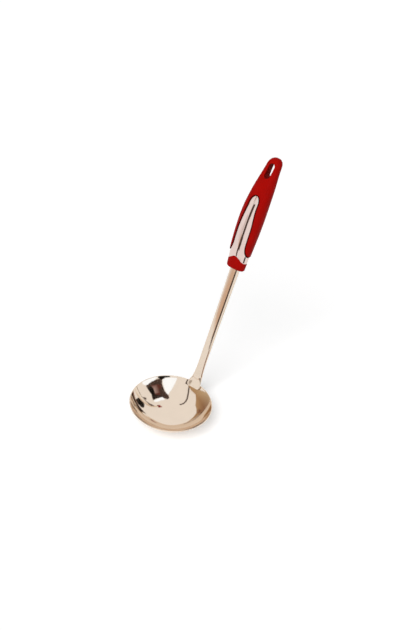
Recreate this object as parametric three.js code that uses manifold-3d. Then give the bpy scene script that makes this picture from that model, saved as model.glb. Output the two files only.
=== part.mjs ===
// Sauce ladle: pressed steel bowl, lapped steel shank, and a two-colour moulded handle.
// Millimetres, +Z up along the bowl's axis, the handle leans towards +Y, the front looks towards -Y.
// The origin is the centre of the flat under the bowl.
import * as THREE from 'three';
import { mergeVertices } from 'three/addons/utils/BufferGeometryUtils.js';
import Module from 'manifold-3d';

// Bowl
const BOWL_DIAMETER = 90;
const BOWL_DEPTH = 23;
const BOWL_WALL = 1.0;
const BASE_FLAT_DIAMETER = 20;
const FLOOR_BLEND_DEGREES = 28;
const RIM_CHAMFER = 0.25;

// Shank, a flat bar with rounded edges
const SHANK_LEAN_DEGREES = 20.2;
const SHANK_LENGTH = 140.2;
const SHANK_TOP_WIDTH = 11.2;
const SHANK_NECK_WIDTH = 9.4;
const SHANK_TOP_THICKNESS = 4.0;
const SHANK_NECK_THICKNESS = 3.0;
const NECK_HEIGHT = 46;
const NECK_BEND_LENGTH = 10;
const SHANK_CROWN = 0.35;

// Foot of the shank, lapped on the inside of the bowl's wall
const FOOT_WIDTH = 16.5;
const FOOT_LAP = 5;
const FOOT_THICKNESS = 1.6;
const FOOT_CORNER = 3;

// Tang of the shank, inside the core
const SHANK_SEAT = 3;
const TANG_WIDTH = 8;
const TANG_THICKNESS = 3;
const TANG_LENGTH = 50;
const TANG_CORNER = 1.5;
const LOCK_HOLE_DIAMETER = 4;
const LOCK_HOLE_FIRST = 14;
const LOCK_HOLE_PITCH = 22;

// Outer form of the handle
const HANDLE_LENGTH = 124.2;
const COLLAR_END_WIDTH = 22;
const HANDLE_WIDTH = 26.8;
const HANG_END_WIDTH = 17.4;
const COLLAR_END_DEPTH = 15;
const HANDLE_DEPTH = 21.5;
const HANG_END_DEPTH = 12.4;
const END_ROUNDING = 9;
const EDGE_ROUNDING = 4;
const BELLY_FORWARD = 2.0;
const END_SETBACK = 9.6;
const SECTION_POWER = 2.3;

// Grip, tongue window, core and collar
const GRIP_WALL = 2.4;
const GRIP_PROUD = 0.8;
const TONGUE_WIDTH = 15;
const TONGUE_TAPER = 38;
const TONGUE_TIP_WIDTH = 10.4;
const TONGUE_TIP_LENGTH = 9;
const LOBE_LEVEL = 16.6;
const LOBE_ROUND_WIDTH = 6.5;
const LOBE_ROUND_LENGTH = 13;
const RIDGE_HEIGHT = 0.5;
const BRIDGE_LENGTH = 18.8;
const CORE_SETBACK = 6;
const COLLAR_FRONT_HEIGHT = 14.8;
const COLLAR_SIDE_HEIGHT = 9.2;
const COLLAR_FLOOR = 2.2;
const COLLAR_INSET = 0.7;
const COLLAR_EDGE = 2.0;

// Hanging slot
const SLOT_LENGTH = 16.2;
const SLOT_WIDTH = 7;
const SLOT_END_MARGIN = 6;

// Clearance between neighbouring pieces
const FIT = 0.3;

// Facets
const BOWL_SEGMENTS = 60;
const BOWL_ARC_STEPS = 10;
const BAR_RING = 28;
const HANDLE_RING = 40;

const wasm = await Module();
wasm.setup();

// Solids and meshes

function toSolid(geometry) {
  const bare = geometry.clone();
  bare.deleteAttribute('normal');
  bare.deleteAttribute('uv');
  const merged = mergeVertices(bare, 1e-5);
  const index = merged.index.array;
  const triangles = [];
  for (let i = 0; i < index.length; i += 3) {
    const [a, b, c] = [index[i], index[i + 1], index[i + 2]];
    if (a !== b && b !== c && c !== a) {
      triangles.push(a, b, c);
    }
  }
  const mesh = new wasm.Mesh({
    numProp: 3,
    vertProperties: new Float32Array(merged.attributes.position.array),
    triVerts: new Uint32Array(triangles),
  });
  return new wasm.Manifold(mesh);
}

function toMesh(solid, name, color, roughness, metalness) {
  const mesh = solid.getMesh();
  const geometry = new THREE.BufferGeometry();
  geometry.setAttribute('position', new THREE.BufferAttribute(new Float32Array(mesh.vertProperties), 3));
  geometry.setIndex(new THREE.BufferAttribute(new Uint32Array(mesh.triVerts), 1));
  geometry.computeVertexNormals();
  const material = new THREE.MeshStandardMaterial({ color, roughness, metalness });
  const result = new THREE.Mesh(geometry, material);
  result.name = name;
  return result;
}

// Closed skin through rings of points, with a flat fan at each end
function loft(rings) {
  const count = rings[0].length;
  const positions = [];
  const index = [];
  for (const ring of rings) {
    for (const point of ring) {
      positions.push(point.x, point.y, point.z);
    }
  }
  for (let r = 0; r + 1 < rings.length; r += 1) {
    for (let k = 0; k < count; k += 1) {
      const next = (k + 1) % count;
      const a = r * count + k;
      const b = r * count + next;
      const c = (r + 1) * count + next;
      const d = (r + 1) * count + k;
      index.push(a, b, c, a, c, d);
    }
  }
  for (const [ring, first] of [[0, true], [rings.length - 1, false]]) {
    const middle = new THREE.Vector3();
    for (const point of rings[ring]) {
      middle.addScaledVector(point, 1 / count);
    }
    const hub = positions.length / 3;
    positions.push(middle.x, middle.y, middle.z);
    for (let k = 0; k < count; k += 1) {
      const a = ring * count + k;
      const b = ring * count + ((k + 1) % count);
      if (first) {
        index.push(hub, b, a);
      } else {
        index.push(hub, a, b);
      }
    }
  }
  const geometry = new THREE.BufferGeometry();
  geometry.setAttribute('position', new THREE.Float32BufferAttribute(positions, 3));
  geometry.setIndex(index);
  return geometry;
}

// Shape drawn in X and Z, run through the handle from front to back
function throughDepth(shape, curveSegments) {
  const reach = 2 * (HANDLE_DEPTH + END_SETBACK + BELLY_FORWARD);
  const geometry = new THREE.ExtrudeGeometry(shape, { depth: reach, bevelEnabled: false, curveSegments });
  geometry.rotateX(Math.PI / 2);
  geometry.translate(0, reach / 2, 0);
  return toSolid(geometry);
}

function smooth(stations, sizes) {
  const curve = new THREE.CubicInterpolant(stations, sizes, 1, new Float64Array(1));
  return (share) => curve.evaluate(share)[0];
}

function rounded(share, power) {
  return Math.pow(Math.max(0, 1 - Math.pow(share, power)), 1 / power);
}

function superPower(value, power) {
  return Math.sign(value) * Math.pow(Math.abs(value), 2 / power);
}

// Bowl: a dished wall between two spheres, with a flat under it, a blended floor and a flat polished rim
const rimRadius = BOWL_DIAMETER / 2;
const flatRadius = BASE_FLAT_DIAMETER / 2;
const dishCentre = (rimRadius ** 2 + BOWL_DEPTH ** 2 - flatRadius ** 2) / (2 * BOWL_DEPTH);
const dishRadius = Math.hypot(flatRadius, dishCentre);

function dishArc(radius, fromHeight, toHeight) {
  const start = Math.acos((dishCentre - fromHeight) / radius);
  const end = Math.acos((dishCentre - toHeight) / radius);
  const points = [];
  for (let i = 0; i <= BOWL_ARC_STEPS; i += 1) {
    const angle = start + ((end - start) * i) / BOWL_ARC_STEPS;
    points.push(new THREE.Vector2(radius * Math.sin(angle), dishCentre - radius * Math.cos(angle)));
  }
  return points;
}

// Inside of the bowl: a tighter arc lifts the floor off the flat and runs into the dished wall
function insideArc() {
  const radius = dishRadius - BOWL_WALL;
  const blend = THREE.MathUtils.degToRad(FLOOR_BLEND_DEGREES);
  const shift = (dishRadius - dishCentre) / (1 - Math.cos(blend));
  const points = [];
  const steps = 4;
  for (let i = 0; i < steps; i += 1) {
    const angle = (blend * i) / steps;
    points.push(new THREE.Vector2(
      shift * Math.sin(blend) + (radius - shift) * Math.sin(angle),
      dishCentre - shift * Math.cos(blend) - (radius - shift) * Math.cos(angle),
    ));
  }
  const wallFrom = dishCentre - radius * Math.cos(blend);
  return points.concat(dishArc(radius, wallFrom, BOWL_DEPTH - RIM_CHAMFER));
}

function makeBowl() {
  const outer = dishArc(dishRadius, 0, BOWL_DEPTH - RIM_CHAMFER);
  const inner = insideArc();
  const outerEdge = outer[outer.length - 1];
  const innerEdge = inner[inner.length - 1];
  const profile = [
    new THREE.Vector2(0, 0),
    ...outer,
    new THREE.Vector2(outerEdge.x - RIM_CHAMFER, BOWL_DEPTH),
    new THREE.Vector2(innerEdge.x + RIM_CHAMFER, BOWL_DEPTH),
    ...inner.reverse(),
    new THREE.Vector2(0, BOWL_WALL),
  ];
  const geometry = new THREE.LatheGeometry(profile, BOWL_SEGMENTS);
  geometry.rotateX(Math.PI / 2);
  return toSolid(geometry);
}

// Stem frame: Z runs up the bar's middle line, Y points to the back, the rim's level is near Z = 0
const lean = THREE.MathUtils.degToRad(SHANK_LEAN_DEGREES);
const footRadius = dishRadius - BOWL_WALL - FIT - FOOT_THICKNESS / 2;
const footAngle = Math.acos((dishCentre - BOWL_DEPTH) / footRadius);
const footTilt = Math.PI / 2 - footAngle - lean;
const neckOffset = Math.tan(footTilt) * (NECK_BEND_LENGTH / 2);
const neckBend = new THREE.QuadraticBezierCurve(
  new THREE.Vector2(-neckOffset, 0),
  new THREE.Vector2(0, NECK_BEND_LENGTH / 2),
  new THREE.Vector2(0, NECK_BEND_LENGTH),
);

// Middle line of the bar at a distance along it from the rim: place, and tilt from the bar's direction
function barLine(along) {
  if (along < 0) {
    const angle = footAngle + along / footRadius;
    const tilt = Math.PI / 2 - angle - lean;
    const dy = footRadius * (Math.sin(angle) - Math.sin(footAngle));
    const dz = footRadius * (Math.cos(footAngle) - Math.cos(angle));
    return {
      y: -neckOffset + dy * Math.cos(lean) - dz * Math.sin(lean),
      z: dy * Math.sin(lean) + dz * Math.cos(lean),
      tilt,
    };
  }
  if (along < NECK_BEND_LENGTH) {
    const share = along / NECK_BEND_LENGTH;
    const point = neckBend.getPoint(share);
    return { y: point.x, z: point.y, tilt: footTilt * (1 - share) };
  }
  return { y: 0, z: along, tilt: 0 };
}

function footRounding(along) {
  const left = FOOT_LAP + along;
  if (left >= FOOT_CORNER) {
    return 0;
  }
  return FOOT_CORNER * (1 - Math.sqrt(Math.max(0, 1 - (1 - left / FOOT_CORNER) ** 2)));
}

function barHalfWidth(along) {
  const neck = SHANK_NECK_WIDTH / 2;
  if (along <= 0) {
    return FOOT_WIDTH / 2 - footRounding(along);
  }
  if (along < NECK_HEIGHT) {
    const share = 1 - along / NECK_HEIGHT;
    return neck + (FOOT_WIDTH / 2 - neck) * share ** 5;
  }
  const share = Math.min(1, (along - NECK_HEIGHT) / (SHANK_LENGTH - NECK_HEIGHT));
  return neck + (SHANK_TOP_WIDTH / 2 - neck) * share ** 1.4;
}

function barThickness(along) {
  if (along <= 0) {
    return FOOT_THICKNESS;
  }
  if (along < NECK_HEIGHT) {
    const share = THREE.MathUtils.smoothstep(along, 0, NECK_HEIGHT);
    return FOOT_THICKNESS + (SHANK_NECK_THICKNESS - FOOT_THICKNESS) * share;
  }
  const share = Math.min(1, (along - NECK_HEIGHT) / (SHANK_LENGTH - NECK_HEIGHT));
  return SHANK_NECK_THICKNESS + (SHANK_TOP_THICKNESS - SHANK_NECK_THICKNESS) * share;
}

function barRing(along, grow) {
  const { y, z, tilt } = barLine(along);
  const halfWidth = barHalfWidth(along) + grow;
  const halfThickness = barThickness(along) / 2 + grow;
  const cupped = 1 - THREE.MathUtils.smoothstep(along, 0, NECK_BEND_LENGTH);
  const ring = [];
  for (let k = 0; k < BAR_RING; k += 1) {
    const angle = (2 * Math.PI * k) / BAR_RING;
    const x = halfWidth * superPower(Math.cos(angle), 4.5);
    const side = halfThickness * superPower(Math.sin(angle), 4.5);
    const cup = footRadius - Math.sqrt(footRadius ** 2 - x ** 2);
    const crown = SHANK_CROWN * (x / halfWidth) ** 2 * (side < 0 ? 1 : 0);
    const out = side - cupped * cup + (1 - cupped) * crown;
    ring.push(new THREE.Vector3(x, y + out * Math.cos(tilt), z - out * Math.sin(tilt)));
  }
  return ring;
}

function roundedBar(width, thickness, corner) {
  const shape = new THREE.Shape();
  const x = width / 2;
  const y = thickness / 2;
  const r = Math.min(corner, y - 0.05, x - 0.05);
  shape.moveTo(-x + r, -y);
  shape.lineTo(x - r, -y);
  shape.absarc(x - r, -y + r, r, -Math.PI / 2, 0, false);
  shape.lineTo(x, y - r);
  shape.absarc(x - r, y - r, r, 0, Math.PI / 2, false);
  shape.lineTo(-x + r, y);
  shape.absarc(-x + r, y - r, r, Math.PI / 2, Math.PI, false);
  shape.lineTo(-x, -y + r);
  shape.absarc(-x + r, -y + r, r, Math.PI, 1.5 * Math.PI, false);
  return shape;
}

const barTop = SHANK_LENGTH + COLLAR_FLOOR + FIT + SHANK_SEAT;
const tangTop = barTop + TANG_LENGTH;

function tangBlock(grow) {
  const shape = roundedBar(TANG_WIDTH + 2 * grow, TANG_THICKNESS + 2 * grow, TANG_CORNER + grow);
  const depth = TANG_LENGTH + SHANK_SEAT + grow;
  const geometry = new THREE.ExtrudeGeometry(shape, { depth, bevelEnabled: false, curveSegments: 4 });
  geometry.translate(0, 0, barTop - SHANK_SEAT);
  return toSolid(geometry);
}

function lockRods(diameter) {
  const rods = [];
  const last = Math.min(LOCK_HOLE_FIRST + LOCK_HOLE_PITCH, TANG_LENGTH - LOCK_HOLE_DIAMETER);
  for (const up of [LOCK_HOLE_FIRST, last]) {
    const geometry = new THREE.CylinderGeometry(diameter / 2, diameter / 2, TANG_THICKNESS + 4 * FIT, 24);
    const rod = toSolid(geometry);
    rods.push(rod.translate(0, 0, barTop + up));
  }
  return rods[0].add(rods[1]);
}

function makeShank() {
  const along = [];
  const cornerSteps = 5;
  for (let i = 0; i < cornerSteps; i += 1) {
    const turn = (Math.PI / 2) * (0.12 + (0.88 * i) / cornerSteps);
    along.push(-FOOT_LAP + FOOT_CORNER * (1 - Math.cos(turn)));
  }
  along.push(-FOOT_LAP + FOOT_CORNER);
  const flareSteps = 12;
  for (let i = 0; i <= flareSteps; i += 1) {
    along.push(NECK_HEIGHT * (i / flareSteps) ** 1.6);
  }
  const barSteps = 5;
  for (let i = 1; i <= barSteps; i += 1) {
    along.push(NECK_HEIGHT + ((barTop - NECK_HEIGHT) * i) / barSteps);
  }
  const bar = toSolid(loft(along.map((distance) => barRing(distance, 0))));
  return bar.add(tangBlock(0)).subtract(lockRods(LOCK_HOLE_DIAMETER));
}

// Outer form of the handle, by share of its length from the collar's lower edge
const handleBottom = SHANK_LENGTH;
const handleTop = handleBottom + HANDLE_LENGTH;
const widthBy = smooth(
  [0, 0.13, 0.36, 0.53, 0.72, 0.9, 1.05],
  [
    COLLAR_END_WIDTH / 2,
    COLLAR_END_WIDTH / 2 + 0.42 * ((HANDLE_WIDTH - COLLAR_END_WIDTH) / 2),
    HANDLE_WIDTH / 2,
    HANDLE_WIDTH / 2,
    HANG_END_WIDTH / 2 + 0.63 * ((HANDLE_WIDTH - HANG_END_WIDTH) / 2),
    HANG_END_WIDTH / 2,
    HANG_END_WIDTH / 2 - 1.6,
  ],
);
const depthBy = smooth(
  [0, 0.15, 0.4, 0.53, 0.65, 0.78, 0.92, 1.05],
  [
    COLLAR_END_DEPTH / 2,
    COLLAR_END_DEPTH / 2 + 0.55 * ((HANDLE_DEPTH - COLLAR_END_DEPTH) / 2),
    HANDLE_DEPTH / 2,
    HANG_END_DEPTH / 2 + 0.95 * ((HANDLE_DEPTH - HANG_END_DEPTH) / 2),
    HANG_END_DEPTH / 2 + 0.76 * ((HANDLE_DEPTH - HANG_END_DEPTH) / 2),
    HANG_END_DEPTH / 2 + 0.45 * ((HANDLE_DEPTH - HANG_END_DEPTH) / 2),
    HANG_END_DEPTH / 2,
    HANG_END_DEPTH / 2 - 0.4,
  ],
);
const lineBy = smooth(
  [0, 0.18, 0.36, 0.58, 0.8, 1.0],
  [
    0,
    -0.85 * BELLY_FORWARD,
    -BELLY_FORWARD,
    -0.4 * BELLY_FORWARD,
    0.42 * END_SETBACK,
    END_SETBACK,
  ],
);

function handleRing(height, inset, ridge) {
  const share = (height - handleBottom) / HANDLE_LENGTH;
  const wide = rounded(Math.max(0, (height - (handleTop - END_ROUNDING)) / END_ROUNDING), 2.3);
  const deep = rounded(Math.max(0, (height - (handleTop - EDGE_ROUNDING)) / EDGE_ROUNDING), 2.0);
  const halfWidth = Math.max(0.4, (widthBy(share) - inset) * wide);
  const halfDepth = Math.max(0.3, (depthBy(share) - inset) * deep);
  const middle = lineBy(share);
  const ring = [];
  for (let k = 0; k < HANDLE_RING; k += 1) {
    const angle = (2 * Math.PI * k) / HANDLE_RING;
    const x = halfWidth * superPower(Math.cos(angle), SECTION_POWER);
    const y = halfDepth * superPower(Math.sin(angle), SECTION_POWER);
    const crest = ridge * Math.max(0, 1 - Math.abs(x) / (TONGUE_WIDTH / 2)) * Math.sign(Math.sin(angle));
    ring.push(new THREE.Vector3(x, middle + y + crest, height));
  }
  return ring;
}

function handleLoft(from, to, inset, ridge, steps) {
  const rings = [];
  for (let i = 0; i <= steps; i += 1) {
    rings.push(handleRing(from + ((to - from) * i) / steps, inset, ridge));
  }
  return toSolid(loft(rings));
}

// Outline of the silver area seen from the front: the tongue, and all below the lobes
const slotTop = handleTop - SLOT_END_MARGIN;
const slotBottom = slotTop - SLOT_LENGTH;
const tongueTip = slotBottom - BRIDGE_LENGTH;
const lobeTip = handleBottom + LOBE_LEVEL;
const coreTop = slotBottom - CORE_SETBACK;
const coreBottom = handleBottom + COLLAR_FLOOR + FIT;

// Right side of the tongue from its shoulder to its blunt tip
function tongueSide(gap, shoulder, tip) {
  const narrow = TONGUE_TIP_WIDTH / 2 - gap;
  const spread = (TONGUE_WIDTH - TONGUE_TIP_WIDTH) / 2;
  const tipLength = Math.min(TONGUE_TIP_LENGTH, (tip - shoulder) / 2);
  const points = [];
  const sideSteps = 5;
  for (let i = 0; i < sideSteps; i += 1) {
    const share = 1 - i / sideSteps;
    const height = tip - tipLength - (tip - tipLength - shoulder) * share;
    points.push(new THREE.Vector2(narrow + spread * THREE.MathUtils.smoothstep(share, 0, 1), height));
  }
  const tipSteps = 6;
  for (let i = 0; i <= tipSteps; i += 1) {
    const turn = (Math.PI / 2) * (i / tipSteps);
    points.push(new THREE.Vector2(narrow * Math.cos(turn), tip - tipLength * (1 - Math.sin(turn))));
  }
  return points;
}

function windowShape(gap) {
  const half = TONGUE_WIDTH / 2 - gap;
  const tip = tongueTip - gap;
  const shoulder = Math.max(lobeTip + LOBE_ROUND_LENGTH, tongueTip - TONGUE_TAPER);
  const tongue = tongueSide(gap, shoulder, tip);
  const lobe = lobeTip - gap;
  const lobeStart = lobe + LOBE_ROUND_LENGTH;
  const far = HANDLE_WIDTH;
  const below = handleBottom - HANDLE_DEPTH;
  const side = half + LOBE_ROUND_WIDTH;
  const shape = new THREE.Shape();
  shape.moveTo(-far, below);
  shape.lineTo(far, below);
  shape.lineTo(far, lobe);
  shape.lineTo(side, lobe);
  shape.absellipse(side, lobeStart, LOBE_ROUND_WIDTH, LOBE_ROUND_LENGTH, 1.5 * Math.PI, Math.PI, true);
  for (const point of tongue) {
    shape.lineTo(point.x, point.y);
  }
  for (const point of tongue.slice(0, -1).reverse()) {
    shape.lineTo(-point.x, point.y);
  }
  shape.lineTo(-half, lobeStart);
  shape.absellipse(-side, lobeStart, LOBE_ROUND_WIDTH, LOBE_ROUND_LENGTH, 2 * Math.PI, 1.5 * Math.PI, true);
  shape.lineTo(-far, lobe);
  return shape;
}

// Area of the collar seen from the front: a hump in the middle, lower at the sides
function collarShape(gap) {
  const far = HANDLE_WIDTH;
  const half = COLLAR_END_WIDTH / 2;
  const side = handleBottom + COLLAR_SIDE_HEIGHT + gap;
  const hump = COLLAR_FRONT_HEIGHT - COLLAR_SIDE_HEIGHT;
  const shape = new THREE.Shape();
  shape.moveTo(-far, handleBottom - HANDLE_DEPTH);
  shape.lineTo(far, handleBottom - HANDLE_DEPTH);
  shape.lineTo(far, side);
  const steps = 16;
  for (let i = steps; i >= 0; i -= 1) {
    const x = half * ((2 * i) / steps - 1);
    shape.lineTo(x, side + hump * Math.cos((Math.PI * x) / (2 * half)) ** 2);
  }
  shape.lineTo(-far, side);
  return shape;
}

function makeCore() {
  const sleeve = GRIP_WALL + FIT;
  const spine = handleLoft(coreBottom, coreTop, sleeve, 0, 20);
  const skin = handleLoft(handleBottom + COLLAR_SIDE_HEIGHT, tongueTip + 1, GRIP_PROUD, RIDGE_HEIGHT, 20);
  const shown = skin.intersect(throughDepth(windowShape(FIT), 14)).subtract(throughDepth(collarShape(FIT), 1));
  const seat = toSolid(loft([coreBottom - 1, barTop + FIT].map((height) => barRing(height, FIT))));
  const socket = seat.add(tangBlock(FIT)).subtract(lockRods(LOCK_HOLE_DIAMETER - 2 * FIT));
  return spine.add(shown).subtract(socket);
}

function slotSolid() {
  const r = SLOT_WIDTH / 2;
  const shape = new THREE.Shape();
  shape.moveTo(r, slotBottom + r);
  shape.lineTo(r, slotTop - r);
  shape.absarc(0, slotTop - r, r, 0, Math.PI, false);
  shape.lineTo(-r, slotBottom + r);
  shape.absarc(0, slotBottom + r, r, Math.PI, 2 * Math.PI, false);
  return throughDepth(shape, 10);
}

function makeGrip() {
  const rings = [];
  const bodyTop = handleTop - END_ROUNDING;
  const bodyFrom = lobeTip - 1;
  const bodySteps = 20;
  for (let i = 0; i <= bodySteps; i += 1) {
    rings.push(handleRing(bodyFrom + ((bodyTop - bodyFrom) * i) / bodySteps, 0, 0));
  }
  const endSteps = 8;
  for (let i = 1; i <= endSteps; i += 1) {
    const turn = (Math.PI / 2) * (i / endSteps);
    rings.push(handleRing(bodyTop + END_ROUNDING * Math.sin(turn), 0, 0));
  }
  const body = toSolid(loft(rings));
  const cavity = handleLoft(lobeTip - 2, coreTop + FIT, GRIP_WALL, 0, 20);
  return body.subtract(throughDepth(windowShape(0), 14)).subtract(cavity).subtract(slotSolid());
}

function makeCollar() {
  const rings = [];
  const edgeSteps = 4;
  for (let i = 0; i <= edgeSteps; i += 1) {
    const turn = (Math.PI / 2) * (i / edgeSteps);
    const inset = COLLAR_INSET + COLLAR_EDGE * (1 - Math.sin(turn));
    rings.push(handleRing(handleBottom + COLLAR_EDGE * (1 - Math.cos(turn)), inset, 0));
  }
  const bodyFrom = handleBottom + COLLAR_EDGE;
  const bodyTo = handleBottom + COLLAR_FRONT_HEIGHT + 1;
  const bodySteps = 4;
  for (let i = 1; i <= bodySteps; i += 1) {
    rings.push(handleRing(bodyFrom + ((bodyTo - bodyFrom) * i) / bodySteps, COLLAR_INSET, 0));
  }
  const body = toSolid(loft(rings)).intersect(throughDepth(collarShape(0), 1));
  const bore = handleLoft(handleBottom + COLLAR_FLOOR, bodyTo + 1, GRIP_WALL, 0, 5);
  const mouth = toSolid(loft([handleBottom - 2, coreBottom + 1].map((height) => barRing(height, FIT))));
  return body.subtract(bore).subtract(mouth);
}

// Assembly
const ladle = new THREE.Group();
ladle.name = 'ladle';

const stem = new THREE.Group();
stem.name = 'stem';
const footY = footRadius * Math.sin(footAngle);
stem.rotation.x = -lean;
stem.position.set(
  0,
  footY + neckOffset * Math.cos(lean),
  BOWL_DEPTH - neckOffset * Math.sin(lean),
);

ladle.add(toMesh(makeBowl(), 'bowl', 0xd6c3ae, 0.12, 1));
stem.add(toMesh(makeShank(), 'shank', 0xcdb69f, 0.16, 1));
stem.add(toMesh(makeCore(), 'handle_core', 0xdcd2cb, 0.2, 1));
stem.add(toMesh(makeGrip(), 'grip', 0xab0f0a, 0.42, 0));
stem.add(toMesh(makeCollar(), 'collar', 0xa80e0b, 0.42, 0));
ladle.add(stem);

export default ladle;
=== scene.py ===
"""Looks of a sauce ladle: a steel bowl and shank, a red and silver handle, and a white studio."""
import math

import bmesh
import bpy
from bpy.props import FloatProperty, FloatVectorProperty, PointerProperty
from mathutils import Matrix, Vector


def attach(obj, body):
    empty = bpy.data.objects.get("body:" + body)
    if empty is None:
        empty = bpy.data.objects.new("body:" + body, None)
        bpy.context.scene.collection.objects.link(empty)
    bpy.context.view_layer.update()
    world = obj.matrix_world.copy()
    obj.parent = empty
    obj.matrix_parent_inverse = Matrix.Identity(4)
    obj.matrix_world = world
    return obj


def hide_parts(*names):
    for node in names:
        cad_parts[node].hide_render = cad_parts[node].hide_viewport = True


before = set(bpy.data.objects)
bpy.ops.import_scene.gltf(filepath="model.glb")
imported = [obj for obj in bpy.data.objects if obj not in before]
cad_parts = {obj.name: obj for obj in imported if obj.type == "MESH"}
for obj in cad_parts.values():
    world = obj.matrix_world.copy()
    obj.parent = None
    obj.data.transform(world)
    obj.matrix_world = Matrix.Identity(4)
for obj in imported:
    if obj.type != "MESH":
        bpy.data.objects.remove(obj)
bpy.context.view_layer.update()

bl_info = {
    "name": "Sauce Ladle",
    "version": (1, 0, 0),
    "blender": (4, 5, 0),
    "location": "View3D > Sidebar > Ladle",
    "description": "Builds a steel sauce ladle with a two-colour moulded handle",
    "category": "Add Mesh",
}

MM = 0.001
RIGHT_ANGLE = math.pi / 2
WELD = 1e-7
TINY = 1e-9
HALVINGS = 50
WHITE = (1.0, 1.0, 1.0, 1.0)

# Facets round the pieces and over their edges
BOWL_TURNS = 192
ARC_STEPS = 40
ROUND_STEPS = 4
BAR_RING = 72
COLLAR_RING = 120
GRIP_COLUMNS = 40
CORE_COLUMNS = 20

# Rows of facets along the pieces, and how closely they crowd towards one end
LAP_ROWS = (10, 1.0)
CORNER_ROWS = (4, 1.0)
FLARE_ROWS = (44, 1.4)
BAR_ROWS = (30, 1.0)
LOBE_ROWS = (18, 2.0)
TONGUE_ROWS = (8, 1.0)
TAPER_ROWS = (16, 1.0)
BRIDGE_ROWS = (14, 1.5)
SLOT_FOOT_ROWS = (7, 1.4)
SLOT_ROWS = (7, 1.0)
TIP_ROWS = 14
SLOT_END_ROWS = 12
WALL_ROWS = 8

# Sections of the bar: how square they are, and how its width changes over and under the neck
BAR_POWER = 4.5
FLARE_POWER = 5
TAPER_POWER = 1.4

# Stations along the handle as shares of its length, and sizes there between the named ones
WIDTH_STATIONS = (0, 0.13, 0.36, 0.53, 0.72, 0.9, 1.05)
WIDTH_RISE = 0.42
WIDTH_FALL = 0.63
WIDTH_END = 1.6 * MM
DEPTH_STATIONS = (0, 0.15, 0.4, 0.53, 0.65, 0.78, 0.92, 1.05)
DEPTH_RISE = 0.55
DEPTH_FALLS = (0.95, 0.76, 0.45)
DEPTH_END = 0.4 * MM
BOW_STATIONS = (0, 0.18, 0.36, 0.58, 0.8, 1.0)
BOW_FRONT = (0.85, 1, 0.4)
BOW_BACK = 0.42
END_HALF_WIDTH = 0.4 * MM
END_HALF_DEPTH = 0.3 * MM
EDGE_POWER = 2.0

# Turns between faces where wear along an edge begins and is full
EDGE_SOFT = math.radians(6)
EDGE_SHARP = math.radians(18)

# Patterns: a noise's scale and detail, or its scale along each axis, and the range it fills
STEEL_CLOUD = (60.0, 2.0)
RED_CLOUD = (90.0, 3.0)
RED_GRAIN = (3200.0, 2.0)
WEAR_PATCHES = (700.0, 3.0)
RING_MARKS = (2200.0, 3.0)
LONG_MARKS = (1.0, 3.0)
SHANK_MARKS = (1500.0, 1500.0, 25.0)
CORE_MARKS = (900.0, 900.0, 40.0)
NOISE_LOW = 0.3
NOISE_HIGH = 0.7

# Finishes: lightness of tones, wear, painted shade at the seams, roughness, and strength and depth
# of bumps
STEEL_TONES = (0.985, 1.015)
STEEL_WORN = 1.12
STEEL_ROUGHNESS = (0.04, 0.1)
STEEL_SCUFF = 0.12
STEEL_BUMP = (0.05, 0.02 * MM)
RED_TONES = (0.88, 1.12)
RED_WORN = 1.25
# Darkness of the red where painted shade lies along the seams
RED_PAINTED_SHADE = 0.22
RED_GLOSS = 0.03
RED_GRAIN_SHARE = 0.4
RED_ROUGHNESS = (0.38, 0.5)
RED_SCUFF = 0.1
SEAM_ROUGHNESS = 0.4
RED_BUMP = (0.3, 0.03 * MM)

# Painted shade inside the hanging slot's tunnel, as a share of the painted shade along the seams
SLOT_SHADE = 0.5

# Floor, key light and camera
FLOOR_REACH = 6.0
FLOOR_DROP = 0.05 * MM
FLOOR_MIRRORED = 0.30
FLOOR_SEEN = 0.07
KEY_HEADING = (12, 50)
KEY_SPREAD = math.radians(35)
KEY_STRENGTH = 2.25
SENSOR_WIDTH = 36.0
CLIP_START = 0.05
CLIP_END = 50.0


def length(name, description, millimetres):
    """A length property whose default is given in millimetres."""
    return FloatProperty(
        name=name,
        description=description,
        default=millimetres * MM,
        unit="LENGTH",
        subtype="DISTANCE",
        precision=5,
    )


def angle(name, description, degrees):
    """An angle property whose default is given in degrees."""
    return FloatProperty(
        name=name,
        description=description,
        default=math.radians(degrees),
        unit="ROTATION",
        subtype="ANGLE",
    )


def colour(name, description, rgb):
    """A colour property in linear red, green and blue."""
    return FloatVectorProperty(
        name=name,
        description=description,
        default=rgb,
        size=3,
        min=0.0,
        max=1.0,
        subtype="COLOR",
    )


class BowlSizes(bpy.types.PropertyGroup):
    """Sizes of the pressed steel bowl"""

    diameter: length("Diameter", "Width of the bowl at its rim", 90)
    depth: length("Depth", "Height of the rim over the flat", 23)
    wall: length("Wall", "Thickness of the steel sheet", 1)
    flat: length("Flat", "Width of the flat under the bowl", 20)
    flat_blend: length("Flat Blend", "Radius between the flat and the wall outside", 12)
    floor_blend: angle("Floor Blend", "Turn that the floor's blend takes up inside", 28)
    rim_round: length("Rim Round", "Radius of the rim's two edges", 0.3)


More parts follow.
